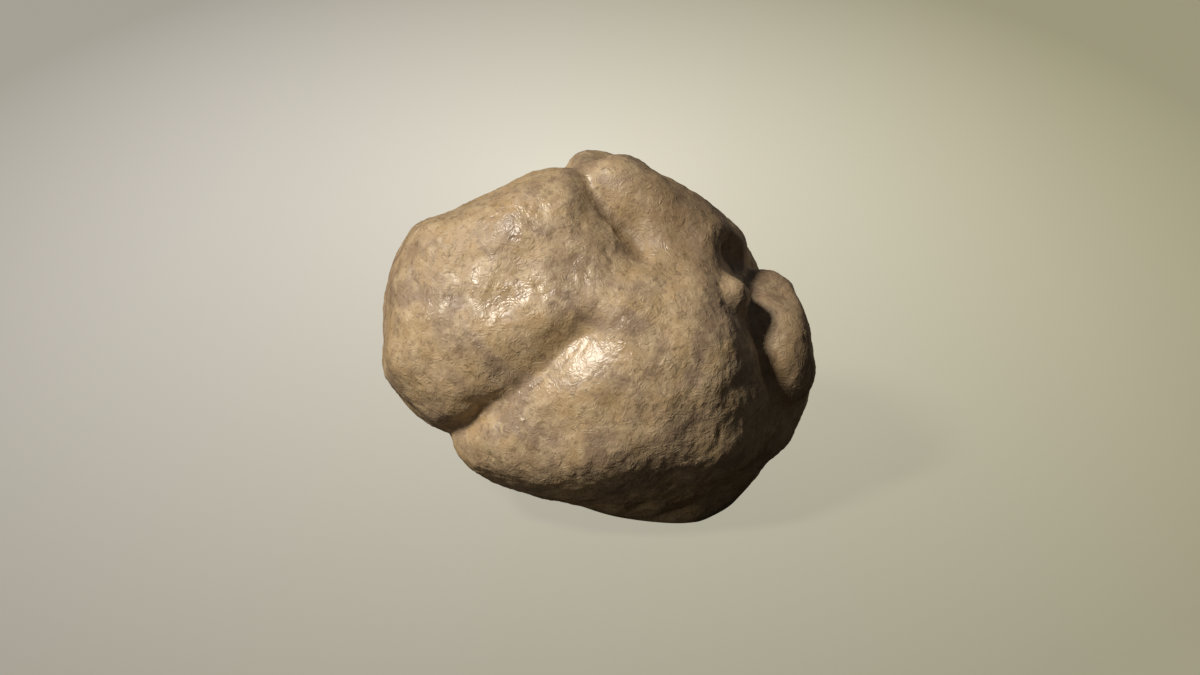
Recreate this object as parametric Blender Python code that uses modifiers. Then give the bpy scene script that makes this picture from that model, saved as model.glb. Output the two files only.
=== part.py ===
"""A lump of moist clay: wads pressed into one rounded lump that rests on a small flat spot.

The wads are laid out in millimetres, with +Z up and the front facing -Y. The finished
mesh is in metres, turned out at WIDTH, with its origin under its middle at the flat spot.
"""

from dataclasses import dataclass
from math import radians

import bmesh
import bpy
import numpy as np
from mathutils import Euler, Matrix, Vector, noise

# Driving dimensions of the finished lump, in metres
WIDTH = 0.120

# The resting spot, in millimetres of the layout: where the clay sags flat, and where it is cut
SAG_HEIGHT = 1.2
SAG_RIM = 1.5
CUT_HEIGHT = 1.6

# The seams between wads, in millimetres
SEAM_WIDTH = 2.6

# The mesh: the wads' rounds of subdivision, the voxel they are merged at, in millimetres, and the
# triangles that the lump keeps
WAD_ROUNDS = 4
MERGE_VOXEL = 1.5
TRIANGLES = 9400

# How the merged mesh settles onto the blended clay: rounds of evening out, steps in each, the
# longest step and the slope's probe in millimetres, and how far a point moves towards its neighbours
SETTLE_ROUNDS = 3
SETTLE_STEPS = 3
SETTLE_REACH = 2.0
PROBE = 0.2
RELAX = 0.5

# The relief kneaded into the surface, in millimetres: broad swells, knuckles and small pits
SWELL_LENGTH, SWELL_HEIGHT = 24.0, 1.6
KNUCKLE_LENGTH, KNUCKLE_HEIGHT = 9.0, 1.1
PIT_SPACING, PIT_RADIUS, PIT_DEPTH = 13.0, 3.0, 0.7
PIT_SHARE = 0.35
RELIEF_FADE = 6.0

CLAY_COLOUR = (0.39, 0.26, 0.145, 1.0)
CLAY_ROUGHNESS = 0.48
CREASE_ANGLE = radians(50)


@dataclass(frozen=True)
class Pat:
    """A face patted nearly flat on a wad: the way it looks, and how far from the wad's middle it lies."""

    facing: tuple
    reach: float
    # How softly the face's rim rolls over
    rim: float
    # The radius that the face is rounded to from front to back, or 0 for a flat one
    bow: float = 0.0
    # How far behind the wad's middle the rounding stands highest
    crest: float = 0.0


@dataclass(frozen=True)
class Wad:
    """A handful of clay: a rounded block, pressed onto the wads before it."""

    name: str
    middle: tuple
    radii: tuple
    turn: tuple = (0, 0, 0)
    # 2 is an ellipsoid, and more is a fuller block
    fullness: float = 2.2
    # How broadly the clay runs into the wads before it
    blend: float = 14.0
    seam: float = 0.0
    pats: tuple = ()


# The wads, from the heart of the lump to the small ones pressed on last
WADS = (
    Wad("heart", (-2, 6, 46), (40, 34, 36)),
    Wad("back", (2, 22, 48), (42, 27, 36), (0, 10, 0), 2.3, 14, pats=(
        Pat((55, 26, 79), 38.8, 10, 60, -4),
        Pat((95, 9, 29), 43, 10, 60))),
    Wad("base", (0, 19, 17), (34, 28, 22), (0, 0, 12), 2.2, 18),
    Wad("bridge", (22.5, -8, 60), (15, 25, 21), fullness=2.0),
    Wad("upper lobe", (11, 0, 74), (36, 27, 27), (0, 34, 0), 2.7, 12, pats=(
        Pat((-5, 31, 95), 25.4, 2.5, 50),
        Pat((-72, 21, 66), 30, 2, 50),
        Pat((56, 26, 79), 18.7, 5, 50),
        Pat((93, 11, 34), 24.6, 7, 50),
        Pat((80, -47, -37), 22.4, 4))),
    Wad("front lobe", (4, -17, 38), (50, 34, 37), (0, -27, 0), 2.2, 14, pats=(
        Pat((-30, -30, -91), 33.2, 8, 80, -3),
        Pat((-72, -21, -66), 44, 7, 80, -3),
        Pat((90, -44, -1), 41.5, 14),
        Pat((86, -20, 46), 40.8, 7),
        Pat((20, -64, -74), 32.6, 12))),
    Wad("shoulder", (-3, -33, 51.5), (18, 14, 9), (0, -48, 0), 2.0, 8),
    Wad("left lobe", (-21.5, -9, 62), (48, 33, 41), (-22, -16, -7), 2.3, 4, 3.0, (
        Pat((-37, 29, 88), 27.6, 4, 50, -1),
        Pat((-99, 4, 11), 36, 5, 50, -1),
        Pat((-76, -20, -62), 43.5, 6, 50, -1),
        Pat((-85, 16, 51), 33.7, 3, 50, -1),
        Pat((64, -71, 29), 43.6, 9),
        Pat((58, -50, 64), 39.5, 5))),
    Wad("right lobe", (43, -2, 49), (18.5, 24, 20), (22, -14, 0), 2.1, 4, 1.8, (
        Pat((94, 11, 33), 12.2, 4, 60, -7),
        Pat((100, -2, -5), 15.6, 4, 60, -7),
        Pat((43, 28, 86), 16, 3, 60, -5))),
    Wad("under the right lobe", (40, -3, 29), (21, 25, 24), (0, 0, 0), 2.2, 6, 0.6, (
        Pat((72, -21, -66), 14, 4, 50, -4),
        Pat((84, -50, -20), 14, 6),
        Pat((100, 0, 0), 18.6, 5, 50, -4))),
    Wad("foot", (24, 4, 7), (26, 28, 23), (0, 0, 0), 2.2, 12, 0.6, (
        Pat((85, -16, -50), 16, 6, 45, -10),
        Pat((70, -22, -68), 14.6, 6, 45, -10))),
    Wad("left of the back", (-26, 26, 50), (24, 19, 22), (0, 0, 20), 2.3, 10, 1.2),
    Wad("right of the back", (23, 32, 36), (25, 17, 23), (0, 20, -15), 2.3, 10, 1.2),
    Wad("nub", (34, -25, 67), (6.2, 8.5, 6.3), (-15, -30, 0), 2.0, 4.5, 0.6),
)

# The hollow that a thumb pushed in under the upper lobe's right end, and how softly its rim rolls in
THUMB_HOLE = Wad("thumb hole", (45.5, -22.5, 73), (15.5, 16, 7.4), (-18, 32, 0))
THUMB_HOLE_RIM = 3.0

# Where a thumb wiped the seams away: the middle, the radius and how broadly the clay runs together
SMEARS = (
    ((6, -38, 69), 11.0, 20.0),
    ((50, 18, 46), 15.0, 18.0),
)


def unit(vector):
    """The vector as a unit row of numbers."""
    row = np.asarray(vector, float)
    return row / np.linalg.norm(row)


def joined_distance(first, second, blend):
    """Two distances as one, the nearer of them, with the crease between them filled in."""
    near = np.maximum(blend - np.abs(first - second), 0.0) / blend
    return np.minimum(first, second) - near**3 * blend / 6.0


def pressed_distance(distance, points, middle, pat):
    """A distance after the clay beyond a pat is pressed in."""
    offset = points - middle
    beyond = offset @ unit(pat.facing) - pat.reach
    if pat.bow:
        beyond = beyond + (offset[:, 1] - pat.crest) ** 2 / (2.0 * pat.bow)
    return -joined_distance(-distance, -beyond, pat.rim)


def wad_distance(points, wad):
    """About how far each point is outside one wad, in millimetres."""
    middle = np.asarray(wad.middle, float)
    turn = np.array(Euler([radians(angle) for angle in wad.turn]).to_matrix())
    radii = np.asarray(wad.radii, float)
    share = np.abs((points - middle) @ turn / radii)
    size = np.maximum((share**wad.fullness).sum(axis=1) ** (1.0 / wad.fullness), 1e-4)
    slope = (share / size[:, None]) ** (wad.fullness - 1.0) / radii
    distance = (size - 1.0) / np.linalg.norm(slope, axis=1)
    for pat in wad.pats:
        distance = pressed_distance(distance, points, middle, pat)
    return distance


def clay_distance(points):
    """About how far each point is outside the whole lump, in millimetres."""
    smears = []
    for middle, radius, blend in SMEARS:
        smears.append((np.exp(-(((points - middle) / radius) ** 2).sum(axis=1)), blend))
    distance = wad_distance(points, WADS[0])
    for wad in WADS[1:]:
        added = wad_distance(points, wad)
        seam = wad.seam * np.exp(-((np.abs(distance - added) / SEAM_WIDTH) ** 2))
        blend = np.full(len(points), float(wad.blend))
        for strength, smeared_blend in smears:
            blend += max(smeared_blend - wad.blend, 0.0) * strength
            seam = seam * (1.0 - strength)
        distance = joined_distance(distance, added, blend) + seam
    distance = -joined_distance(-distance, wad_distance(points, THUMB_HOLE), THUMB_HOLE_RIM)
    return -joined_distance(-distance, points[:, 2] - SAG_HEIGHT, SAG_RIM)


def clay_slope(points):
    """Which way the clay's distance grows at each point, and how fast."""
    columns = []
    for axis in np.eye(3) * PROBE:
        columns.append(clay_distance(points + axis) - clay_distance(points - axis))
    return np.stack(columns, axis=1) / (2.0 * PROBE)


def settled(points):
    """The points moved onto the clay's surface."""
    for _ in range(SETTLE_STEPS):
        slope = clay_slope(points)
        step = clay_distance(points) / np.maximum((slope**2).sum(axis=1), 0.05)
        points = points - np.clip(step, -SETTLE_REACH, SETTLE_REACH)[:, None] * slope
    return points


def relaxed(points, edges):
    """The points eased towards the middle of their neighbours."""
    sums = np.zeros_like(points)
    counts = np.zeros(len(points))
    for start, end in (edges.T, edges.T[::-1]):
        np.add.at(sums, start, points[end])
        np.add.at(counts, start, 1.0)
    return points + RELAX * (sums / counts[:, None] - points)


def relief_at(point):
    """How far the kneaded surface stands out at a point, in millimetres."""
    place = Vector(point)
    height = SWELL_HEIGHT * noise.noise(place / SWELL_LENGTH)
    height += KNUCKLE_HEIGHT * noise.noise(place / KNUCKLE_LENGTH)
    distances, middles = noise.voronoi(place / PIT_SPACING)
    across = distances[0] * PIT_SPACING / PIT_RADIUS
    if across < 1.0 and noise.cell(middles[0] * PIT_SPACING) < PIT_SHARE:
        height -= PIT_DEPTH * (1.0 - across**2) ** 2
    # The relief fades out towards the flat spot
    return height * min(max((point[2] - CUT_HEIGHT) / RELIEF_FADE, 0.0), 1.0)


def add_wad(mesh_builder, wad):
    """Adds one wad to the mesh builder: a sphere made fuller, pressed, turned and moved into place."""
    made = bmesh.ops.create_icosphere(mesh_builder, subdivisions=WAD_ROUNDS, radius=1.0)
    placed = Matrix.Translation(wad.middle) @ Euler([radians(angle) for angle in wad.turn]).to_matrix().to_4x4()
    for vert in made["verts"]:
        size = sum(abs(part) ** wad.fullness for part in vert.co) ** (1.0 / wad.fullness)
        spread = [part / size * radius for part, radius in zip(vert.co, wad.radii)]
        vert.co = placed @ Vector(spread)
        for pat in wad.pats:
            facing = Vector(pat.facing).normalized()
            offset = vert.co - Vector(wad.middle)
            beyond = offset.dot(facing) - pat.reach
            if pat.bow:
                beyond += (offset.y - pat.crest) ** 2 / (2.0 * pat.bow)
            vert.co -= max(beyond, 0.0) * facing


def evaluated_mesh(thing):
    """The object's mesh with its modifiers applied, which are then removed."""
    graph = bpy.context.evaluated_depsgraph_get()
    mesh = bpy.data.meshes.new_from_object(thing.evaluated_get(graph))
    thing.modifiers.clear()
    return mesh


def points_of(mesh):
    """The mesh's points as rows of numbers."""
    points = np.empty(len(mesh.vertices) * 3, np.float32)
    mesh.vertices.foreach_get("co", points)
    return points.reshape(-1, 3).astype(float)


def set_points(mesh, points):
    """Moves the mesh's points."""
    mesh.vertices.foreach_set("co", points.astype(np.float32).ravel())
    mesh.update()


def add_wads(lump):
    """Fills the object with all wads, each still a body of its own."""
    mesh_builder = bmesh.new()
    for wad in WADS:
        add_wad(mesh_builder, wad)
    mesh_builder.to_mesh(lump.data)
    mesh_builder.free()


def poke_thumb_hole(lump):
    """Cuts the thumb hole, with a cutter that stays hidden in a collection of its own."""
    mesh_builder = bmesh.new()
    add_wad(mesh_builder, THUMB_HOLE)
    cutter = bpy.data.objects.new("thumb_hole_cutter", bpy.data.meshes.new("thumb_hole_cutter"))
    mesh_builder.to_mesh(cutter.data)
    mesh_builder.free()
    cutter.hide_render = True
    cutter.display_type = "WIRE"
    collection = bpy.data.collections.new("cutters")
    bpy.context.scene.collection.children.link(collection)
    collection.objects.link(cutter)
    boolean = lump.modifiers.new("thumb hole", "BOOLEAN")
    boolean.operation = "DIFFERENCE"
    boolean.object = cutter
    lump.data = evaluated_mesh(lump)


def merge(lump):
    """Merges what the object holds to one closed body of even faces."""
    remesh = lump.modifiers.new("merge", "REMESH")
    remesh.mode = "VOXEL"
    remesh.voxel_size = MERGE_VOXEL
    lump.data = evaluated_mesh(lump)


def settle(lump):
    """Moves the merged mesh onto the blended clay, and evens out its faces."""
    mesh = lump.data
    edges = np.empty(len(mesh.edges) * 2, np.int32)
    mesh.edges.foreach_get("vertices", edges)
    edges = edges.reshape(-1, 2)
    points = settled(points_of(mesh))
    for _ in range(SETTLE_ROUNDS):
        points = settled(relaxed(points, edges))
    set_points(mesh, points)


def knead(lump):
    """Works the relief into the surface."""
    points = points_of(lump.data)
    slope = clay_slope(points)
    outward = slope / np.linalg.norm(slope, axis=1, keepdims=True)
    heights = np.array([relief_at(point) for point in points])
    set_points(lump.data, points + outward * heights[:, None])


def thin_out(lump):
    """Keeps the triangles where the shape needs them."""
    lump.data.calc_loop_triangles()
    decimate = lump.modifiers.new("thin out", "DECIMATE")
    decimate.ratio = TRIANGLES / len(lump.data.loop_triangles)
    lump.data = evaluated_mesh(lump)


def cut_flat_spot(lump):
    """Cuts the sagged underside to the small flat spot that the lump rests on."""
    mesh_builder = bmesh.new()
    mesh_builder.from_mesh(lump.data)
    cut = bmesh.ops.bisect_plane(
        mesh_builder,
        geom=mesh_builder.verts[:] + mesh_builder.edges[:] + mesh_builder.faces[:],
        plane_co=(0, 0, CUT_HEIGHT),
        plane_no=(0, 0, 1),
        clear_inner=True,
    )
    rim = [piece for piece in cut["geom_cut"] if isinstance(piece, bmesh.types.BMEdge)]
    bmesh.ops.holes_fill(mesh_builder, edges=rim)
    bmesh.ops.triangulate(mesh_builder, faces=mesh_builder.faces[:])
    bmesh.ops.recalc_face_normals(mesh_builder, faces=mesh_builder.faces[:])
    mesh_builder.to_mesh(lump.data)
    mesh_builder.free()


def turn_out_at_size(lump):
    """Scales the lump to its real width and puts its origin under its middle."""
    points = points_of(lump.data)
    low, high = points.min(axis=0), points.max(axis=0)
    middle = Vector(((low[0] + high[0]) / 2, (low[1] + high[1]) / 2, low[2]))
    size = WIDTH / float(high[0] - low[0])
    lump.data.transform(Matrix.Scale(size, 4) @ Matrix.Translation(-middle))


def moist_clay():
    """Tan potter's clay, moist enough for a soft gloss."""
    material = bpy.data.materials.new("moist_clay")
    material.use_nodes = True
    shader = material.node_tree.nodes["Principled BSDF"]
    shader.inputs["Base Color"].default_value = CLAY_COLOUR
    shader.inputs["Roughness"].default_value = CLAY_ROUGHNESS
    shader.inputs["Metallic"].default_value = 0.0
    material.diffuse_color = CLAY_COLOUR
    return material


def build_lump():
    """Makes the lump of clay in a collection of its own."""
    collection = bpy.data.collections.new("lump_of_clay")
    bpy.context.scene.collection.children.link(collection)
    lump = bpy.data.objects.new("clay_lump", bpy.data.meshes.new("clay_lump"))
    collection.objects.link(lump)
    add_wads(lump)
    merge(lump)
    poke_thumb_hole(lump)
    settle(lump)
    merge(lump)
    settle(lump)
    knead(lump)
    thin_out(lump)
    cut_flat_spot(lump)
    turn_out_at_size(lump)
    lump.data.name = "clay_lump"
    lump.data.shade_smooth()
    lump.data.set_sharp_from_angle(angle=CREASE_ANGLE)
    lump.data.materials.append(moist_clay())
    return lump


for old in list(bpy.data.objects):
    bpy.data.objects.remove(old, do_unlink=True)
build_lump()
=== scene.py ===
"""Dresses the lump of clay: its kneaded surface, its moist finish, the studio floor, lamps and camera.

Lengths in the fields below are in millimetres where their names end in _mm, and otherwise in metres.
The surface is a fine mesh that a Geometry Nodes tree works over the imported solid's own form, so each
lobe, seam and hollow stays where the solid has it.
"""

import logging
from dataclasses import dataclass, field
from enum import Enum
from math import cos, radians, sin

import bmesh
import bpy
from mathutils import Matrix, Vector

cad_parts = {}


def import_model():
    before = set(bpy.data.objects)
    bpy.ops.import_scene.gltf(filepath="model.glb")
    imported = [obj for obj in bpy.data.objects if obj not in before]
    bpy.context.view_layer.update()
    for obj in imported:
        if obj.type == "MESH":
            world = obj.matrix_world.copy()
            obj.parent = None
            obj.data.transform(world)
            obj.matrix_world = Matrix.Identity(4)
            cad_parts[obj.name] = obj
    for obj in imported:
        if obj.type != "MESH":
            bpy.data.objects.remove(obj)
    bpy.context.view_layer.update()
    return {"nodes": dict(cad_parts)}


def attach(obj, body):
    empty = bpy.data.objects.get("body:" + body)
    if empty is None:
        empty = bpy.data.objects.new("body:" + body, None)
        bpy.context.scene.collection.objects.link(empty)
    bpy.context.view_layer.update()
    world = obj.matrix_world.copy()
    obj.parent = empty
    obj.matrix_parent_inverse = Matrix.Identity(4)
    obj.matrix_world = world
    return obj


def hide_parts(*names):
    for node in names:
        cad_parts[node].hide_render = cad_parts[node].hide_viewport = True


LOG = logging.getLogger("lump_of_clay")
MM = 0.001
NODE_NAME = "clay_lump"
PIECE_NAME = "kneaded_clay"
# A cloud pattern's values lie around this one
CLOUD_MIDDLE = 0.5
# How far each relief layer's and each cloud's pattern starts from the last one's, so that none repeats
LAYER_STEP_MM = 17.0
CLOUD_STEP_MM = (13.0, 7.0, 0.0)
# The wave texture draws one ring each 0.314 of its units at a scale of 1
RING_SPACING = 0.314

Vec = tuple[float, float, float]


def linear(hex_colour: str) -> tuple[float, float, float, float]:
    """Turns an sRGB hex colour into the linear colour that shaders and lights take.

    Args:
        hex_colour: Six hex digits after a hash sign.

    Returns:
        Linear red, green and blue, and a full alpha.
    """
    parts = [int(hex_colour[start:start + 2], 16) / 255.0 for start in (1, 3, 5)]
    red, green, blue = [
        part / 12.92 if part <= 0.04045 else ((part + 0.055) / 1.055) ** 2.4 for part in parts
    ]
    return red, green, blue, 1.0


def add_node(tree: bpy.types.NodeTree, kind: str, settings: dict | None = None,
             inputs: dict | None = None) -> bpy.types.Node:
    """Adds one node to a tree, with its settings, values and links.

    Args:
        tree: The shader or geometry tree.
        kind: The node's type name in Blender.
        settings: Values of the node's own properties.
        inputs: For each input, by name or number, a value or another node's output socket.

    Returns:
        The new node.
    """
    node = tree.nodes.new(kind)
    for name, value in (settings or {}).items():
        setattr(node, name, value)
    for key, value in (inputs or {}).items():
        if isinstance(value, bpy.types.NodeSocket):
            tree.links.new(value, node.inputs[key])
        else:
            node.inputs[key].default_value = value
    return node


def ramp(node: bpy.types.Node, stops: list[tuple[float, tuple]]) -> bpy.types.Node:
    """Gives a colour ramp node its stops.

    Args:
        node: The colour ramp node.
        stops: Each stop's place, from 0 to 1, and its linear colour.

    Returns:
        The same node.
    """
    elements = node.color_ramp.elements
    while len(elements) < len(stops):
        elements.new(1.0)
    for element, (place, colour) in zip(elements, stops):
        element.position = place
        element.color = colour
    return node


class Pattern(Enum):
    """How one layer of the kneaded relief is drawn."""

    LUMPS = "rolling lumps, as fingers leave them"
    PEBBLES = "rounded grains with sharp valleys between them"
    NICKS = "small dents and nicks, far apart"


class Cloud(Enum):
    """The cloud patterns in the clay's finish, each with its seed."""

    STREAKS = 1
    MOTTLE = 2
    STAINS = 3
    WET = 4
    GRAIN = 5
    GRIT = 6
    WRINKLES = 7


@dataclass(frozen=True)
class ReliefLayer:
    """One layer of the kneaded relief.

    spacing_mm is the distance from one form to the next, and stretch draws the forms out along X, Y or Z.
    rough_share is how much of the height is left outside the rough patch, and wiped_share how much is left
    where a thumb wiped the clay.
    """

    name: str
    pattern: Pattern
    spacing_mm: float
    height_mm: float
    seed: int
    detail: float = 1.0
    warp: float = 0.0
    stretch: Vec = (1.0, 1.0, 1.0)
    rough_share: float = 1.0
    wiped_share: float = 1.0


@dataclass(frozen=True)
class Patch:
    """A soft round patch of the surface, in millimetres.

    It is at full strength up to core times its radius, and ends at edge times its radius.
    """

    middle_mm: Vec
    radius_mm: float
    core: float = 0.35
    edge: float = 1.35

    def strength(self, tree: bpy.types.NodeTree, place_mm: bpy.types.NodeSocket,
                 top: float = 1.0) -> bpy.types.NodeSocket:
        """Draws the patch.

        Args:
            tree: The shader or geometry tree.
            place_mm: The surface's places in millimetres.
            top: The patch's full strength.

        Returns:
            The patch's strength at each point, top in its middle and 0 outside.
        """
        apart = add_node(tree, "ShaderNodeVectorMath", {"operation": "DISTANCE"},
                         {0: place_mm, 1: self.middle_mm})
        drawn = add_node(tree, "ShaderNodeMapRange", {"interpolation_type": "SMOOTHSTEP"}, {
            "Value": apart.outputs["Value"], "From Min": self.core * self.radius_mm,
            "From Max": self.edge * self.radius_mm, "To Min": top, "To Max": 0.0})
        return drawn.outputs["Result"]


RELIEF = (
    ReliefLayer("finger lumps", Pattern.LUMPS, spacing_mm=13.0, height_mm=0.9, seed=3,
                detail=2.0, warp=0.3, wiped_share=0.15),
    ReliefLayer("wrinkles", Pattern.LUMPS, spacing_mm=3.8, height_mm=0.38, seed=11,
                detail=2.0, warp=1.4, stretch=(1.0, 1.0, 0.6), wiped_share=0.2),
    ReliefLayer("clay grains", Pattern.PEBBLES, spacing_mm=2.6, height_mm=0.19, seed=23,
                detail=1.0, warp=0.5, rough_share=0.85, wiped_share=0.8),
    ReliefLayer("nicks", Pattern.NICKS, spacing_mm=6.0, height_mm=0.6, seed=37,
                stretch=(1.0, 1.0, 0.55), wiped_share=0.3),
)

# Where the clay is roughest: the front lobe's lower right
ROUGH_PATCH = Patch((30.0, -34.0, 30.0), 36.0)

# Where a thumb wiped the clay smooth and wet: the shoulder under the left lobe's seam
WIPED_PATCH = Patch((-4.5, -47.6, 55.6), 11.0)

# Painted shade: the clay is coloured darker where the lump lies in shade, on the upper lobe, the right lobe
# and round the hollow's rim
PAINTED_SHADE_PATCHES = (
    Patch((26.0, -20.0, 86.0), 19.0, core=0.3, edge=1.4),
    Patch((53.0, -14.0, 50.0), 17.0, core=0.3, edge=1.4),
    Patch((47.0, -6.0, 73.0), 9.0, core=0.3, edge=1.4),
)


@dataclass
class ReliefTree:
    """The Geometry Nodes tree that smooths the fine mesh, kneads the relief in and hands on its hollows."""

    layers: tuple[ReliefLayer, ...] = RELIEF
    rough: Patch = ROUGH_PATCH
    wiped: Patch = WIPED_PATCH
    # Steps of smoothing that ease the solid's facets
    smoothing: int = 6
    # How much deeper each seam is pressed, as a share of its depth
    sharpening: float = 0.6
    # The height over the floor at which the relief starts, and is whole
    foot_start_mm: float = 0.3
    foot_fade_mm: float = 5.0
    # Steps of smoothing that give the clay's level round a point, and the depth that counts as a full hollow
    hollow_reach: int = 30
    hollow_depth_mm: float = 1.2
    # How steeply lumps and grains rise out of their clouds, and how far the grains' valleys lie below
    lump_rise: float = 2.0
    grain_rise: float = 4.0
    grain_valley: float = 0.4
    # A nick's radius as a share of the spacing, and how many of the places have one
    nick_size: float = 0.22
    nick_share: float = 0.30
    # The pad that the thumb wiped: how far the clay follows it, its radius, and where its middle faces
    wipe_share: float = 0.8
    pad_radius_mm: float = 40.0
    pad_facing: Vec = (-0.27, -0.81, 0.52)

    def build(self) -> bpy.types.NodeTree:
        """Builds the tree.

        Returns:
            The tree, with named inputs for its sizes.
        """
        tree = bpy.data.node_groups.new("kneaded_relief", "GeometryNodeTree")
        self.add_sockets(tree)
        given = add_node(tree, "NodeGroupInput")
        place = add_node(tree, "GeometryNodeInputPosition").outputs[0]
        place_mm = add_node(tree, "ShaderNodeVectorMath", {"operation": "SCALE"},
                            {0: place, "Scale": 1.0 / MM}).outputs[0]
        smooth = add_node(tree, "GeometryNodeSetPosition", inputs={
            "Geometry": given.outputs["Geometry"],
            "Position": self.place_around(tree, given.outputs["Smoothing"])}).outputs[0]
        fade = self.foot_fade(tree, place_mm, given)
        in_seam = self.maths(tree, "MAXIMUM", self.depth(tree), 0.0)
        pinched = self.maths(tree, "MULTIPLY", in_seam, fade)
        seamed = self.moved_out(tree, smooth, self.maths(tree, "MULTIPLY", pinched, -self.sharpening))
        rough = self.rough.strength(tree, place_mm)
        wiped = self.wiped.strength(tree, place_mm)
        evened = self.wipe(tree, seamed, wiped)
        kept = self.stored(tree, evened, "rough", rough)
        kept = self.stored(tree, kept, "wiped", wiped)
        height = self.maths(tree, "MULTIPLY", self.kneaded(tree, place_mm, given, rough, wiped), fade)
        worked = self.moved_out(tree, kept, self.maths(tree, "MULTIPLY", height, MM))
        # The hollow share goes on to the finish, which darkens the seams with painted shade
        hollows = self.stored(tree, worked, "hollow", self.hollowness(tree))
        shaded = add_node(tree, "GeometryNodeSetShadeSmooth", inputs={"Geometry": hollows})
        real = add_node(tree, "GeometryNodeRealizeInstances", inputs={"Geometry": shaded.outputs[0]})
        dressed = add_node(tree, "GeometryNodeSetMaterial", inputs={
            "Geometry": real.outputs[0], "Material": given.outputs["Clay"]})
        add_node(tree, "NodeGroupOutput", inputs={"Geometry": dressed.outputs[0]})
        return tree

    def add_sockets(self, tree: bpy.types.NodeTree) -> None:
        """Gives the tree its named inputs and its output.

        Args:
            tree: The tree.
        """
        sockets = tree.interface
        sockets.new_socket("Geometry", in_out="INPUT", socket_type="NodeSocketGeometry")
        for layer in self.layers:
            height = sockets.new_socket(
                layer.name + " height", in_out="INPUT", socket_type="NodeSocketFloat")
            height.default_value = layer.height_mm
        sockets.new_socket("Smoothing", in_out="INPUT", socket_type="NodeSocketInt")
        sockets.new_socket("Foot fade", in_out="INPUT", socket_type="NodeSocketFloat")
        sockets.new_socket("Clay", in_out="INPUT", socket_type="NodeSocketMaterial")
        sockets.new_socket("Geometry", in_out="OUTPUT", socket_type="NodeSocketGeometry")

    def kneaded(self, tree: bpy.types.NodeTree, place_mm: bpy.types.NodeSocket, given: bpy.types.Node,
                rough: bpy.types.NodeSocket, wiped: bpy.types.NodeSocket) -> bpy.types.NodeSocket:
        """Adds up the layers of relief.

        Args:
            tree: The tree.
            place_mm: The surface's places in millimetres.
            given: The tree's input node.
            rough: The rough patch's strength.
            wiped: The wiped patch's strength.

        Returns:
            The relief's height at each point, in millimetres.
        """
        total = None
        for layer in self.layers:
            drawn = self.layer_height(tree, layer, place_mm)
            share = add_node(tree, "ShaderNodeMapRange", inputs={
                "Value": rough, "To Min": layer.rough_share, "To Max": 1.0})
            left = add_node(tree, "ShaderNodeMapRange", inputs={
                "Value": wiped, "To Min": 1.0, "To Max": layer.wiped_share})
            shared = self.maths(tree, "MULTIPLY", drawn, share.outputs["Result"])
            shared = self.maths(tree, "MULTIPLY", shared, left.outputs["Result"])
            sized = self.maths(tree, "MULTIPLY", shared, given.outputs[layer.name + " height"])
            total = sized if total is None else self.maths(tree, "ADD", total, sized)
        return total

    @staticmethod
    def value_of(node: bpy.types.Node) -> bpy.types.NodeSocket:
        """Returns a node's first output that is in use."""
        return next(socket for socket in node.outputs if socket.enabled)

    @staticmethod
    def maths(tree: bpy.types.NodeTree, operation: str, first: bpy.types.NodeSocket | float,
              second: bpy.types.NodeSocket | float = 0.0) -> bpy.types.NodeSocket:
        """Adds a sum.

        Args:
            tree: The tree.
            operation: The sum's name in Blender.
            first: Its first value.
            second: Its second value, where it has one.

        Returns:
            The sum's result.
        """
        node = add_node(tree, "ShaderNodeMath", {"operation": operation}, {0: first, 1: second})
        return node.outputs[0]

    @staticmethod
    def moved_out(tree: bpy.types.NodeTree, geometry: bpy.types.NodeSocket,
                  distance: bpy.types.NodeSocket) -> bpy.types.NodeSocket:
        """Moves the surface out along its normals.

        Args:
            tree: The tree.
            geometry: The surface.
            distance: How far each point moves, in metres.

        Returns:
            The moved surface.
        """
        normal = add_node(tree, "GeometryNodeInputNormal")
        offset = add_node(tree, "ShaderNodeVectorMath", {"operation": "SCALE"},
                          {0: normal.outputs[0], "Scale": distance})
        return add_node(tree, "GeometryNodeSetPosition", inputs={
            "Geometry": geometry, "Offset": offset.outputs[0]}).outputs[0]

    @staticmethod
    def stored(tree: bpy.types.NodeTree, geometry: bpy.types.NodeSocket, name: str,
               value: bpy.types.NodeSocket) -> bpy.types.NodeSocket:
        """Stores a value at each point, for the finish.

        Args:
            tree: The tree.
            geometry: The surface.
            name: The attribute's name.
            value: The value at each point.

        Returns:
            The surface with the attribute.
        """
        kept = add_node(tree, "GeometryNodeStoreNamedAttribute", {"data_type": "FLOAT", "domain": "POINT"},
                        {"Geometry": geometry, "Name": name, "Value": value})
        return kept.outputs[0]

    def place_around(self, tree: bpy.types.NodeTree,
                     steps: bpy.types.NodeSocket | int) -> bpy.types.NodeSocket:
        """Blurs the surface's places over their neighbours.

        Args:
            tree: The tree.
            steps: How many times each place is blurred with its neighbours'.

        Returns:
            The blurred places.
        """
        place = add_node(tree, "GeometryNodeInputPosition")
        blurred = add_node(tree, "GeometryNodeBlurAttribute", {"data_type": "FLOAT_VECTOR"},
                           {"Value": place.outputs[0], "Iterations": steps})
        return self.value_of(blurred)

    def foot_fade(self, tree: bpy.types.NodeTree, place_mm: bpy.types.NodeSocket,
                  given: bpy.types.Node) -> bpy.types.NodeSocket:
        """Lets the relief fade out towards the flat spot.

        Args:
            tree: The tree.
            place_mm: The surface's places in millimetres.
            given: The tree's input node.

        Returns:
            The share of the relief that is left at each point.
        """
        parts = add_node(tree, "ShaderNodeSeparateXYZ", inputs={0: place_mm})
        fade = add_node(tree, "ShaderNodeMapRange", {"interpolation_type": "SMOOTHSTEP"}, {
            "Value": parts.outputs["Z"], "From Min": self.foot_start_mm,
            "From Max": given.outputs["Foot fade"]})
        return fade.outputs["Result"]

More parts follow.
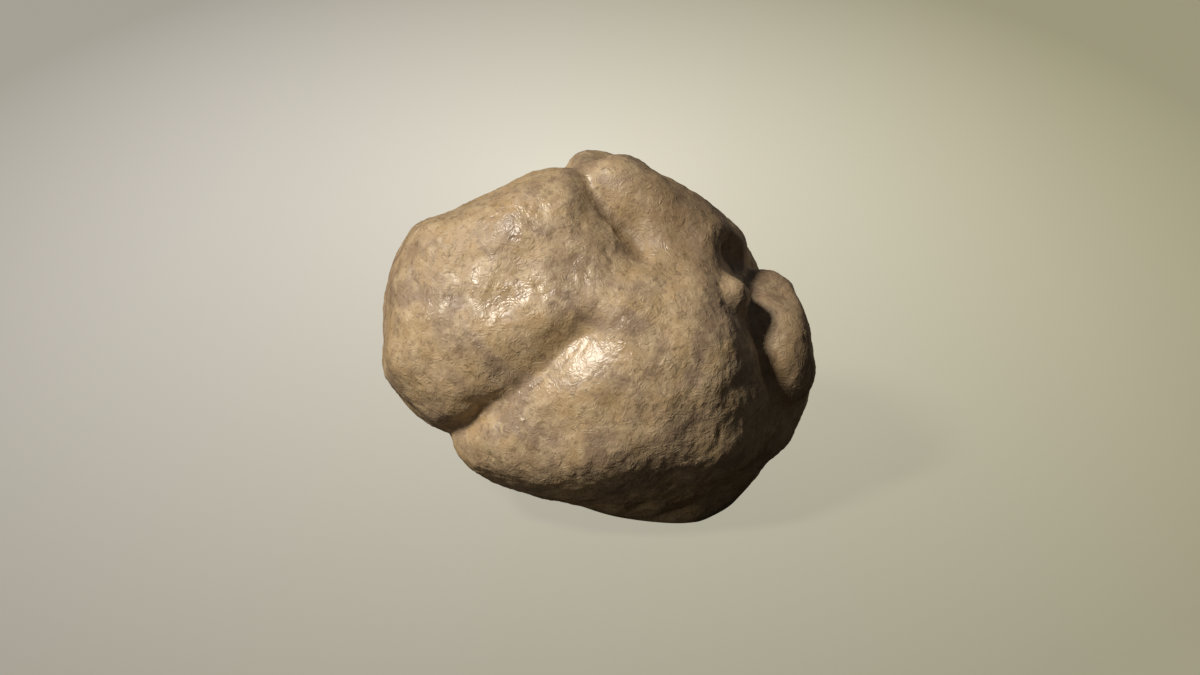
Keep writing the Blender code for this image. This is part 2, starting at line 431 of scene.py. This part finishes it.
    def wipe(self, tree: bpy.types.NodeTree, geometry: bpy.types.NodeSocket,
             wiped: bpy.types.NodeSocket) -> bpy.types.NodeSocket:
        """Draws the surface onto the round pad that a thumb wiped.

        Args:
            tree: The tree.
            geometry: The surface before its relief.
            wiped: How much each point was wiped, from 0 to 1.

        Returns:
            The wiped surface.
        """
        radius = self.pad_radius_mm * MM
        heart = Vector(self.wiped.middle_mm) * MM - Vector(self.pad_facing).normalized() * radius
        place = add_node(tree, "GeometryNodeInputPosition")
        out = add_node(tree, "ShaderNodeVectorMath", {"operation": "SUBTRACT"},
                       {0: place.outputs[0], 1: heart})
        away = add_node(tree, "ShaderNodeVectorMath", {"operation": "LENGTH"}, {0: out.outputs[0]})
        missing = self.maths(tree, "SUBTRACT", radius, away.outputs["Value"])
        share = self.maths(tree, "MULTIPLY", wiped, self.wipe_share)
        step = self.maths(tree, "MULTIPLY", missing, share)
        way = add_node(tree, "ShaderNodeVectorMath", {"operation": "NORMALIZE"}, {0: out.outputs[0]})
        moved = add_node(tree, "ShaderNodeVectorMath", {"operation": "SCALE"},
                         {0: way.outputs[0], "Scale": step})
        return add_node(tree, "GeometryNodeSetPosition", inputs={
            "Geometry": geometry, "Offset": moved.outputs[0]}).outputs[0]

    def layer_height(self, tree: bpy.types.NodeTree, layer: ReliefLayer,
                     place_mm: bpy.types.NodeSocket) -> bpy.types.NodeSocket:
        """Draws one layer of relief.

        Args:
            tree: The tree.
            layer: The layer to draw.
            place_mm: The surface's places in millimetres.

        Returns:
            The layer's height from about -0.5 to 0.5 of its full height.
        """
        drawn_out = add_node(tree, "ShaderNodeVectorMath", {"operation": "MULTIPLY_ADD"},
                             {0: place_mm, 1: layer.stretch, 2: (layer.seed * LAYER_STEP_MM, 0.0, 0.0)})
        if layer.pattern is Pattern.NICKS:
            return self.nicks(tree, layer, drawn_out.outputs[0])
        cloud = add_node(tree, "ShaderNodeTexNoise", inputs={
            "Vector": drawn_out.outputs[0], "Scale": 1.0 / layer.spacing_mm, "Detail": layer.detail,
            "Distortion": layer.warp})
        centred = self.maths(tree, "SUBTRACT", cloud.outputs[0], CLOUD_MIDDLE)
        if layer.pattern is Pattern.LUMPS:
            return self.maths(tree, "MULTIPLY", centred, self.lump_rise)
        folded = self.maths(tree, "ABSOLUTE", centred)
        raised = self.maths(tree, "MULTIPLY", folded, self.grain_rise)
        return self.maths(tree, "SUBTRACT", raised, self.grain_valley)

    def nicks(self, tree: bpy.types.NodeTree, layer: ReliefLayer,
              place_mm: bpy.types.NodeSocket) -> bpy.types.NodeSocket:
        """Draws small dents far apart.

        Args:
            tree: The tree.
            layer: The layer to draw.
            place_mm: The surface's places in millimetres, drawn out by the layer's stretch.

        Returns:
            The dents' height, from -1 in their middles to 0.
        """
        cells = add_node(tree, "ShaderNodeTexVoronoi", inputs={
            "Vector": place_mm, "Scale": 1.0 / layer.spacing_mm, "Randomness": 1.0})
        pressed = add_node(tree, "ShaderNodeMapRange", {"interpolation_type": "SMOOTHSTEP"}, {
            "Value": cells.outputs["Distance"], "From Min": 0.0, "From Max": self.nick_size,
            "To Min": -1.0, "To Max": 0.0})
        chance = add_node(tree, "ShaderNodeSeparateXYZ", inputs={0: cells.outputs["Color"]})
        chosen = self.maths(tree, "LESS_THAN", chance.outputs["X"], self.nick_share)
        return self.maths(tree, "MULTIPLY", pressed.outputs["Result"], chosen)

    def depth(self, tree: bpy.types.NodeTree) -> bpy.types.NodeSocket:
        """Measures how far each point lies below the clay around it.

        Args:
            tree: The tree.

        Returns:
            The depth in metres, below zero on crests.
        """
        place = add_node(tree, "GeometryNodeInputPosition")
        above = add_node(tree, "ShaderNodeVectorMath", {"operation": "SUBTRACT"},
                         {0: self.place_around(tree, self.hollow_reach), 1: place.outputs[0]})
        normal = add_node(tree, "GeometryNodeInputNormal")
        depth = add_node(tree, "ShaderNodeVectorMath", {"operation": "DOT_PRODUCT"},
                         {0: above.outputs[0], 1: normal.outputs[0]})
        return depth.outputs["Value"]

    def hollowness(self, tree: bpy.types.NodeTree) -> bpy.types.NodeSocket:
        """Turns each point's depth into a share.

        Args:
            tree: The tree.

        Returns:
            The share: 0 on crests, 0.5 on even clay and 1 in seams.
        """
        reach = self.hollow_depth_mm * MM
        return add_node(tree, "ShaderNodeMapRange", inputs={
            "Value": self.depth(tree), "From Min": -reach, "From Max": reach}).outputs["Result"]


@dataclass(frozen=True)
class MoistClay:
    """Moist potter's clay, kneaded by hand: a fine-grained tan body with a film of water on it.

    The eye gets a matte, mottled earth colour, where greyer and more ochre clays are half kneaded
    together, and small wet glints where the wiped skin faces the light.
    """

    tan: str = "#B09776"
    pale: str = "#C6B08C"
    ochre: str = "#AF946E"
    mauve: str = "#957E66"
    # The painted shade's colour on the upper lobe, the right lobe and the hollow's rim
    dark: str = "#7E664B"
    # The painted shade's colour in the seams and in the grain's pits
    seam: str = "#5E4A34"
    # The index of refraction of the clay's own mineral, kaolinite
    ior: float = 1.55
    # A little above the usual 0.5, for the film of water
    specular_level: float = 0.6
    # The roughness of the skin where it is nearly dry, where it is wet and where a thumb wiped it
    dry_roughness: float = 0.60
    wet_roughness: float = 0.34
    wiped_roughness: float = 0.37
    # Half-kneaded clays streak a centimetre and a half across, wet spots are a little smaller, and
    # mottling and stains are a few millimetres
    streak_mm: float = 15.0
    wet_mm: float = 9.0
    mottle_mm: float = 4.5
    stain_mm: float = 5.85
    # How much of the paler clay and the mauve shows at its spots, how much painted shade lies on the upper
    # lobe, the right lobe and the hollow's rim, and how far the painted shade darkens the pits in the grain
    # and the seams
    pale_share: float = 0.6
    stain_share: float = 0.6
    painted_shade_share: float = 0.65
    pit_shade_share: float = 0.4
    seam_shade_share: float = 0.55
    # Wrinkles, grain and grit, and the ridges that wiping left round the left lobe
    wrinkle_mm: float = 2.6
    grain_mm: float = 1.4
    grit_mm: float = 0.55
    smear_mm: float = 1.9
    wrinkle_height_mm: float = 0.12
    grain_height_mm: float = 0.12
    grit_height_mm: float = 0.010
    smear_height_mm: float = 0.07
    # A wrinkle's folded cloud runs from 0 to about 0.3, so its height is scaled up by this
    fold_rise: float = 3.0
    # How much of the grain is left outside the rough patch, and of grain and wrinkles where a thumb wiped
    even_grain: float = 0.92
    wiped_grain: float = 0.5
    # The left lobe's middle, which the smears run round, and how far out they reach
    smear_middle_mm: Vec = (-21.5, -14.0, 60.0)
    smear_reach_mm: float = 48.0

    def make(self) -> bpy.types.Material:
        """Builds the material.

        Returns:
            The finished material.
        """
        material = bpy.data.materials.new("moist_potters_clay")
        material.use_nodes = True
        tree = material.node_tree
        tree.nodes.clear()
        place = add_node(tree, "ShaderNodeTexCoord").outputs["Object"]
        place_mm = add_node(tree, "ShaderNodeMapping", inputs={
            "Vector": place, "Scale": (1.0 / MM, 1.0 / MM, 1.0 / MM)}).outputs[0]
        hollow, rough, wiped = [
            add_node(tree, "ShaderNodeAttribute", {"attribute_name": name}).outputs["Fac"]
            for name in ("hollow", "rough", "wiped")
        ]
        grain = self.cloud(tree, place_mm, Cloud.GRAIN, self.grain_mm, detail=1.2, warp=0.9)
        shader = add_node(tree, "ShaderNodeBsdfPrincipled", inputs={
            "Base Color": self.colour(tree, place_mm, hollow, grain),
            "Roughness": self.roughness(tree, place_mm, wiped), "IOR": self.ior,
            "Specular IOR Level": self.specular_level,
            "Normal": self.bumps(tree, place_mm, grain, rough, wiped)})
        add_node(tree, "ShaderNodeOutputMaterial", inputs={"Surface": shader.outputs[0]})
        return material

    @staticmethod
    def cloud(tree: bpy.types.NodeTree, place_mm: bpy.types.NodeSocket, kind: Cloud, spacing_mm: float,
              detail: float = 2.0, warp: float = 0.0) -> bpy.types.NodeSocket:
        """Adds a cloud pattern.

        Args:
            tree: The material's tree.
            place_mm: The surface's places in millimetres.
            kind: Which of the clay's clouds it is.
            spacing_mm: The distance from one of its forms to the next.
            detail: How many finer clouds it carries.
            warp: How far its forms are bent.

        Returns:
            The pattern's value, from 0 to 1.
        """
        start = tuple(kind.value * step for step in CLOUD_STEP_MM)
        moved = add_node(tree, "ShaderNodeVectorMath", {"operation": "ADD"}, {0: place_mm, 1: start})
        return add_node(tree, "ShaderNodeTexNoise", inputs={
            "Vector": moved.outputs[0], "Scale": 1.0 / spacing_mm, "Detail": detail,
            "Distortion": warp}).outputs[0]

    @staticmethod
    def share(tree: bpy.types.NodeTree, value: bpy.types.NodeSocket, low: float, high: float,
              bottom: float = 0.0, top: float = 1.0) -> bpy.types.NodeSocket:
        """Turns a value into a share, with soft ends.

        Args:
            tree: The material's tree.
            value: The value.
            low: The value that gives the bottom share.
            high: The value that gives the top share.
            bottom: The bottom share.
            top: The top share.

        Returns:
            The share.
        """
        return add_node(tree, "ShaderNodeMapRange", {"interpolation_type": "SMOOTHSTEP"}, {
            "Value": value, "From Min": low, "From Max": high, "To Min": bottom,
            "To Max": top}).outputs["Result"]

    @staticmethod
    def blend(tree: bpy.types.NodeTree, share: bpy.types.NodeSocket, bottom: bpy.types.NodeSocket | float,
              top: float) -> bpy.types.NodeSocket:
        """Goes evenly from one number to another.

        Args:
            tree: The material's tree.
            share: How far it goes, from 0 to 1.
            bottom: The number at 0.
            top: The number at 1.

        Returns:
            The number between them.
        """
        return add_node(tree, "ShaderNodeMapRange", inputs={
            "Value": share, "To Min": bottom, "To Max": top}).outputs["Result"]

    @staticmethod
    def mixed(tree: bpy.types.NodeTree, share: bpy.types.NodeSocket, under: bpy.types.NodeSocket,
              over: str) -> bpy.types.NodeSocket:
        """Lays a colour over another.

        Args:
            tree: The material's tree.
            share: How much of the upper colour shows, from 0 to 1.
            under: The lower colour.
            over: The upper colour in hex.

        Returns:
            The mixed colour.
        """
        # Sockets 6 and 7 are the node's two colours, and its output 2 is the mixed one
        node = add_node(tree, "ShaderNodeMix", {"data_type": "RGBA"}, {0: share, 6: under, 7: linear(over)})
        return node.outputs[2]

    def colour(self, tree: bpy.types.NodeTree, place_mm: bpy.types.NodeSocket,
               hollow: bpy.types.NodeSocket, grain: bpy.types.NodeSocket) -> bpy.types.NodeSocket:
        """Draws the half-kneaded clays and their mottling, and paints shade into the grain's pits, the
        seams, the upper lobe, the right lobe and the hollow's rim.

        Args:
            tree: The material's tree.
            place_mm: The surface's places in millimetres.
            hollow: How deep each point lies in a seam.
            grain: The grain's cloud.

        Returns:
            The clay's colour.
        """
        streaks = self.cloud(tree, place_mm, Cloud.STREAKS, self.streak_mm, detail=4.0, warp=1.0)
        body = ramp(add_node(tree, "ShaderNodeValToRGB", inputs={0: streaks}), [
            (0.38, linear(self.mauve)), (0.50, linear(self.tan)), (0.62, linear(self.ochre))])
        mottle = self.cloud(tree, place_mm, Cloud.MOTTLE, self.mottle_mm, detail=4.0, warp=0.8)
        pale = self.share(tree, mottle, low=0.45, high=0.70, top=self.pale_share)
        colour = self.mixed(tree, pale, body.outputs[0], self.pale)
        stains = self.cloud(tree, place_mm, Cloud.STAINS, self.stain_mm, detail=4.0, warp=0.6)
        stained = self.share(tree, stains, low=0.52, high=0.70, top=self.stain_share)
        colour = self.mixed(tree, stained, colour, self.mauve)
        # Painted shade: a darker colour laid on the upper lobe, the right lobe and the hollow's rim, where
        # the lump lies in shade
        for patch in PAINTED_SHADE_PATCHES:
            colour = self.mixed(tree, patch.strength(tree, place_mm, self.painted_shade_share), colour, self.dark)
        # Painted shade in the grain's pits, where the grain's bumps lie lowest
        pits = self.share(tree, grain, low=0.30, high=0.46, bottom=self.pit_shade_share, top=0.0)
        colour = self.mixed(tree, pits, colour, self.seam)
        # Painted shade in the seams, darkest where the surface lies deepest below the clay around it
        in_seam = self.share(tree, hollow, low=0.60, high=1.0, top=self.seam_shade_share)
        return self.mixed(tree, in_seam, colour, self.seam)

    def roughness(self, tree: bpy.types.NodeTree, place_mm: bpy.types.NodeSocket,
                  wiped: bpy.types.NodeSocket) -> bpy.types.NodeSocket:
        """Draws where the skin is wet or wiped.

        Args:
            tree: The material's tree.
            place_mm: The surface's places in millimetres.
            wiped: The wiped patch's strength.

        Returns:
            The clay's roughness.
        """
        spots = self.cloud(tree, place_mm, Cloud.WET, self.wet_mm, detail=3.0, warp=0.5)
        wet = self.share(tree, spots, low=0.46, high=0.64)
        kneaded = self.blend(tree, wet, self.dry_roughness, self.wet_roughness)
        return self.blend(tree, wiped, kneaded, self.wiped_roughness)

    def bumps(self, tree: bpy.types.NodeTree, place_mm: bpy.types.NodeSocket, grain: bpy.types.NodeSocket,
              rough: bpy.types.NodeSocket, wiped: bpy.types.NodeSocket) -> bpy.types.NodeSocket:
        """Draws the smears, the wrinkles, the grain and the grit.

        Args:
            tree: The material's tree.
            place_mm: The surface's places in millimetres.
            grain: The grain's cloud.
            rough: The rough patch's strength.
            wiped: The wiped patch's strength.

        Returns:
            The bent normal.
        """
        centred = add_node(tree, "ShaderNodeVectorMath", {"operation": "SUBTRACT"},
                           {0: place_mm, 1: self.smear_middle_mm}).outputs[0]
        rings = add_node(tree, "ShaderNodeTexWave", {"wave_type": "RINGS", "rings_direction": "SPHERICAL"}, {
            "Vector": centred, "Scale": RING_SPACING / self.smear_mm, "Distortion": 2.5, "Detail": 2.0,
            "Detail Scale": 1.5})
        away = add_node(tree, "ShaderNodeVectorMath", {"operation": "LENGTH"}, {0: centred})
        smeared = self.share(tree, away.outputs["Value"], low=0.5 * self.smear_reach_mm,
                             high=self.smear_reach_mm, bottom=1.0, top=0.0)
        normal = add_node(tree, "ShaderNodeBump", inputs={
            "Height": rings.outputs["Fac"], "Strength": smeared,
            "Distance": self.smear_height_mm * MM}).outputs[0]
        folds = add_node(tree, "ShaderNodeMath", {"operation": "SUBTRACT"}, {
            0: self.cloud(tree, place_mm, Cloud.WRINKLES, self.wrinkle_mm, detail=1.0, warp=1.6),
            1: CLOUD_MIDDLE})
        wrinkles = add_node(tree, "ShaderNodeMath", {"operation": "ABSOLUTE"}, {0: folds.outputs[0]})
        normal = add_node(tree, "ShaderNodeBump", inputs={
            "Height": wrinkles.outputs[0], "Strength": self.blend(tree, wiped, 1.0, self.wiped_grain),
            "Distance": self.fold_rise * self.wrinkle_height_mm * MM, "Normal": normal}).outputs[0]
        grainy = self.blend(tree, rough, self.even_grain, 1.0)
        normal = add_node(tree, "ShaderNodeBump", inputs={
            "Height": grain, "Strength": self.blend(tree, wiped, grainy, self.wiped_grain),
            "Distance": self.grain_height_mm * MM, "Normal": normal}).outputs[0]
        grit = self.cloud(tree, place_mm, Cloud.GRIT, self.grit_mm, detail=1.0)
        return add_node(tree, "ShaderNodeBump", inputs={
            "Height": grit, "Distance": self.grit_height_mm * MM, "Normal": normal}).outputs[0]


@dataclass
class ClayLump:
    """The lump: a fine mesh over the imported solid, with its relief kneaded in, dressed in moist clay."""

    node: bpy.types.Object
    # The fine mesh's cell, which keeps the piece under 200,000 triangles
    voxel_mm: float = 0.775
    # The solid's corners that lie closer than this are joined
    weld_mm: float = 0.001
    relief: ReliefTree = field(default_factory=ReliefTree)
    finish: MoistClay = field(default_factory=MoistClay)

    def build(self) -> bpy.types.Object:
        """Makes the lump and sets it in the frame.

        Returns:
            The finished piece.
        """
        body = self.copy_of_node()
        remesh = body.modifiers.new("fine mesh", "REMESH")
        remesh.mode = "VOXEL"
        remesh.voxel_size = self.voxel_mm * MM
        kneading = body.modifiers.new("kneading", "NODES")
        kneading.node_group = self.relief.build()
        clay = self.finish.make()
        self.set_input(kneading, "Smoothing", self.relief.smoothing)
        self.set_input(kneading, "Foot fade", self.relief.foot_fade_mm)
        self.set_input(kneading, "Clay", clay)
        graph = bpy.context.evaluated_depsgraph_get()
        worked = bpy.data.meshes.new_from_object(body.evaluated_get(graph))
        body.modifiers.clear()
        body.data = worked
        worked.name = PIECE_NAME
        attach(body, "root")
        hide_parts(NODE_NAME)
        return body

    def copy_of_node(self) -> bpy.types.Object:
        """Copies the solid's mesh and joins its loose triangles.

        Returns:
            A new object with the copy.
        """
        mesh_builder = bmesh.new()
        mesh_builder.from_mesh(self.node.data)
        bmesh.ops.remove_doubles(mesh_builder, verts=mesh_builder.verts, dist=self.weld_mm * MM)
        mesh = bpy.data.meshes.new(PIECE_NAME)
        mesh_builder.to_mesh(mesh)
        mesh_builder.free()
        body = bpy.data.objects.new(PIECE_NAME, mesh)
        bpy.context.scene.collection.objects.link(body)
        return body

    @staticmethod
    def set_input(modifier: bpy.types.Modifier, name: str, value: object) -> None:
        """Sets one named input of a Geometry Nodes modifier, by its socket's identifier.

        Args:
            modifier: The modifier.
            name: The input's name.
            value: Its new value.
        """
        for item in modifier.node_group.interface.items_tree:
            if item.item_type == "SOCKET" and item.in_out == "INPUT" and item.name == name:
                modifier[item.identifier] = value


@dataclass(frozen=True)
class GlowingFloor:
    """A pale, warm-white floor that glows by itself for the camera, though it is no lamp.

    Its glow is a painted pool of light: a plain ground that darkens softly away from its middle, cool on the
    left and warm on the right, so the lamps' shadow on it shows only faintly.
    Towards the clay the floor gives next to no light back, so the lump's underside stays dark.
    """

    # The painted pool of light: the floor's colour in its bright middle and at its darker edge
    middle: str = "#F5EFDB"
    edge: str = "#B0AB97"
    cool: str = "#F2F2FF"
    warm: str = "#E5E5D6"
    bounce: str = "#3A3630"
    # How much of what the camera sees is the floor's own glow, a painted light, and not the lamps' light on
    # it
    glow_share: float = 0.86
    glow: float = 1.05
    # The painted pool of light on the floor: its middle and its radii in metres
    pool_middle: Vec = (-0.01, 0.35, 0.0)
    pool_radii: Vec = (0.284, 0.529, 1.0)
    # Where the cool tint ends and the warm one is whole, as shares of the pool's radius to the right
    tint_span: tuple[float, float] = (-0.6, 0.8)

    def make(self) -> bpy.types.Material:
        """Builds the material.

        Returns:
            The finished material.
        """
        material = bpy.data.materials.new("glowing_floor_painted_light_pool")
        material.use_nodes = True
        tree = material.node_tree
        tree.nodes.clear()
        place = add_node(tree, "ShaderNodeTexCoord").outputs["Object"]
        centred = add_node(tree, "ShaderNodeVectorMath", {"operation": "SUBTRACT"},
                           {0: place, 1: self.pool_middle})
        spread = add_node(tree, "ShaderNodeVectorMath", {"operation": "DIVIDE"},
                          {0: centred.outputs[0], 1: self.pool_radii})
        away = add_node(tree, "ShaderNodeVectorMath", {"operation": "LENGTH"}, {0: spread.outputs[0]})
        # Painted pool of light: the colour falls from the bright middle to the darker edge
        tone = ramp(add_node(tree, "ShaderNodeValToRGB", inputs={0: away.outputs["Value"]}), [
            (0.0, linear(self.middle)), (1.0, linear(self.edge))])
        across = add_node(tree, "ShaderNodeSeparateXYZ", inputs={0: spread.outputs[0]})
        side = add_node(tree, "ShaderNodeMapRange", inputs={
            "Value": across.outputs["X"], "From Min": self.tint_span[0],
            "From Max": self.tint_span[1]}).outputs["Result"]
        tint = ramp(add_node(tree, "ShaderNodeValToRGB", inputs={0: side}), [
            (0.0, linear(self.cool)), (1.0, linear(self.warm))])
        # Sockets 6 and 7 are the node's two colours, and its output 2 is their product
        tinted = add_node(tree, "ShaderNodeMix", {"data_type": "RGBA", "blend_type": "MULTIPLY"},
                          {0: 1.0, 6: tone.outputs[0], 7: tint.outputs[0]}).outputs[2]
        # The glow is painted light: the floor shines for the camera though it is no lamp
        glow = add_node(tree, "ShaderNodeEmission", inputs={"Color": tinted, "Strength": self.glow})
        lit = add_node(tree, "ShaderNodeBsdfDiffuse", inputs={"Color": tinted})
        seen = add_node(tree, "ShaderNodeMixShader", inputs={
            0: self.glow_share, 1: lit.outputs[0], 2: glow.outputs[0]})
        dim = add_node(tree, "ShaderNodeBsdfDiffuse", inputs={"Color": linear(self.bounce)})
        path = add_node(tree, "ShaderNodeLightPath")
        paper = add_node(tree, "ShaderNodeMixShader", inputs={
            0: path.outputs["Is Camera Ray"], 1: dim.outputs[0], 2: seen.outputs[0]})
        add_node(tree, "ShaderNodeOutputMaterial", inputs={"Surface": paper.outputs[0]})
        return material


@dataclass(frozen=True)
class Lamp:
    """A round soft light that faces the lump.

    way is where it hangs as the camera sees it: right, up and towards the viewer. distance is from the
    aim, size is its diameter and power is in watts.
    A lamp that doesn't glint lights the clay, but its own reflection doesn't show in the wet skin.
    """

    name: str
    way: Vec
    distance: float
    size: float
    power: float
    colour: str
    glints: bool = True


LAMPS = (
    Lamp("key_light", (-0.50, 0.46, 0.73), 2.4, 0.42, 65.0, "#FFF8EC"),
    Lamp("left_fill", (-0.88, -0.10, 0.46), 2.4, 0.2, 6.0, "#FFF4E0"),
    Lamp("back_light_left", (-0.42, 0.36, -0.83), 2.4, 0.4, 13.0, "#FFF8EC", glints=False),
    Lamp("back_light_right", (0.52, 0.34, -0.78), 2.4, 0.4, 14.0, "#FFF8F0", glints=False),
)


@dataclass
class Studio:
    """The pale floor, the lamps, the dim room and the camera, at the photograph's angle."""

    # The photograph is 1200 pixels wide, and the lump's width covers 429 of them
    picture_px: float = 1200.0
    lump_px: float = 429.0
    lump_width: float = 0.120
    lens_mm: float = 85.0
    sensor_mm: float = 36.0
    elevation: float = 18.0
    aim: Vec = (0.0, 0.0, 0.0468)
    floor_size: float = 6.0
    floor_drop: float = 0.0002
    lamps: tuple[Lamp, ...] = LAMPS
    sky_colour: str = "#C9CCD2"
    sky_strength: float = 0.10

    def axes(self) -> tuple[Vector, Vector, Vector]:
        """Works out the picture's directions in the frame.

        Returns:
            Right, up and towards the viewer.
        """
        rise = radians(self.elevation)
        back = Vector((0.0, -cos(rise), sin(rise)))
        right = Vector((1.0, 0.0, 0.0))
        return right, back.cross(right), back

    def build(self) -> None:
        """Makes the floor, the lights, the sky and the camera."""
        self.floor()
        self.lights()
        self.sky()
        self.camera()
        bpy.context.scene.view_settings.view_transform = "Standard"

    def floor(self) -> None:
        """Lays the floor just under the lump."""
        mesh_builder = bmesh.new()
        bmesh.ops.create_grid(mesh_builder, x_segments=1, y_segments=1, size=self.floor_size / 2.0)
        mesh = bpy.data.meshes.new("floor")
        mesh_builder.to_mesh(mesh)
        mesh_builder.free()
        mesh.transform(Matrix.Translation((0.0, 0.0, -self.floor_drop)))
        mesh.materials.append(GlowingFloor().make())
        floor = bpy.data.objects.new("floor", mesh)
        bpy.context.scene.collection.objects.link(floor)

    def lights(self) -> None:
        """Hangs the key light at the upper left, a weak lamp at the left and two behind the lump."""
        right, up, back = self.axes()
        for lamp in self.lamps:
            sideways, upwards, outwards = lamp.way
            way = (sideways * right + upwards * up + outwards * back).normalized()
            data = bpy.data.lights.new(lamp.name, "AREA")
            data.shape = "DISK"
            data.size = lamp.size
            data.energy = lamp.power
            data.color = linear(lamp.colour)[:3]
            light = bpy.data.objects.new(lamp.name, data)
            light.visible_glossy = lamp.glints
            light.location = Vector(self.aim) + lamp.distance * way
            light.rotation_euler = (-way).to_track_quat("-Z", "Y").to_euler()
            bpy.context.scene.collection.objects.link(light)

    def sky(self) -> None:
        """Gives the room a dim, even, slightly cool light."""
        world = bpy.data.worlds.new("studio_room")
        world.use_nodes = True
        tree = world.node_tree
        tree.nodes.clear()
        glow = add_node(tree, "ShaderNodeBackground", inputs={
            "Color": linear(self.sky_colour), "Strength": self.sky_strength})
        add_node(tree, "ShaderNodeOutputWorld", inputs={"Surface": glow.outputs[0]})
        bpy.context.scene.world = world

    def camera(self) -> None:
        """Sets the camera where the lump covers as many pixels as in the photograph."""
        _, _, back = self.axes()
        pixel = self.lump_width / self.lump_px
        distance = pixel * self.picture_px * self.lens_mm / self.sensor_mm
        data = bpy.data.cameras.new("camera")
        data.lens = self.lens_mm
        data.sensor_width = self.sensor_mm
        data.clip_start = 0.01
        data.clip_end = 50.0
        camera = bpy.data.objects.new("camera", data)
        camera.location = Vector(self.aim) + distance * back
        camera.rotation_euler = (-back).to_track_quat("-Z", "Y").to_euler()
        bpy.context.scene.collection.objects.link(camera)
        bpy.context.scene.camera = camera


def main() -> None:
    """Builds the lump and the studio."""
    logging.basicConfig(level=logging.INFO, format="%(name)s: %(message)s")
    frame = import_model()
    lump = ClayLump(frame["nodes"][NODE_NAME]).build()
    lump.data.calc_loop_triangles()
    LOG.info("%s: %d triangles", lump.name, len(lump.data.loop_triangles))
    Studio().build()
    LOG.info("studio: floor, %d lamps, room and camera", len(LAMPS))


if __name__ == "__main__":
    main()
